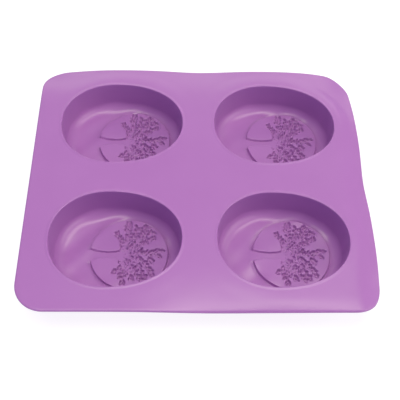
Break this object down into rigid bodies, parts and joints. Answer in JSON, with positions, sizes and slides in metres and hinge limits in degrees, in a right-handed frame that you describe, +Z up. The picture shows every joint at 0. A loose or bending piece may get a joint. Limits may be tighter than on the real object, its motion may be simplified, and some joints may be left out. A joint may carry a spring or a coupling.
{
  "type": "silicone soap mould",
  "caption": "Flexible silicone soap mould: a flat rounded sheet with egg-shaped cups hanging below it, each with a raised round medallion of a tree on its floor.",
  "frame": {"origin": "centre of the base, on the surface that the cups stand on", "axes": "+X along the cups' length towards the trees' crowns, +Y across the cups towards the back, +Z up out of the cavities"},
  "size_m": [0.219, 0.188, 0.026],
  "materials": {
    "silicone": "smooth satin purple silicone, opaque"
  },
  "bodies": {
    "tray": {"deck": "silicone", "cup_wall_front_left": "silicone", "cup_wall_front_right": "silicone", "cup_wall_back_left": "silicone", "cup_wall_back_right": "silicone"},
    "floor_front_left": {"cup_floor_front_left": "silicone", "tree_relief_front_left": "silicone"},
    "floor_front_right": {"cup_floor_front_right": "silicone", "tree_relief_front_right": "silicone"},
    "floor_back_left": {"cup_floor_back_left": "silicone", "tree_relief_back_left": "silicone"},
    "floor_back_right": {"cup_floor_back_right": "silicone", "tree_relief_back_right": "silicone"}
  },
  "joints": [
    {"name": "push_out_front_left", "type": "slide", "parent": "tray", "child": "floor_front_left", "axis": [0, 0, 1], "range_m": [0, 0.01], "stiffness_N_per_m": 1000},
    {"name": "push_out_front_right", "type": "slide", "parent": "tray", "child": "floor_front_right", "axis": [0, 0, 1], "range_m": [0, 0.01], "stiffness_N_per_m": 1000},
    {"name": "push_out_back_left", "type": "slide", "parent": "tray", "child": "floor_back_left", "axis": [0, 0, 1], "range_m": [0, 0.01], "stiffness_N_per_m": 1000},
    {"name": "push_out_back_right", "type": "slide", "parent": "tray", "child": "floor_back_right", "axis": [0, 0, 1], "range_m": [0, 0.01], "stiffness_N_per_m": 1000}
  ]
}
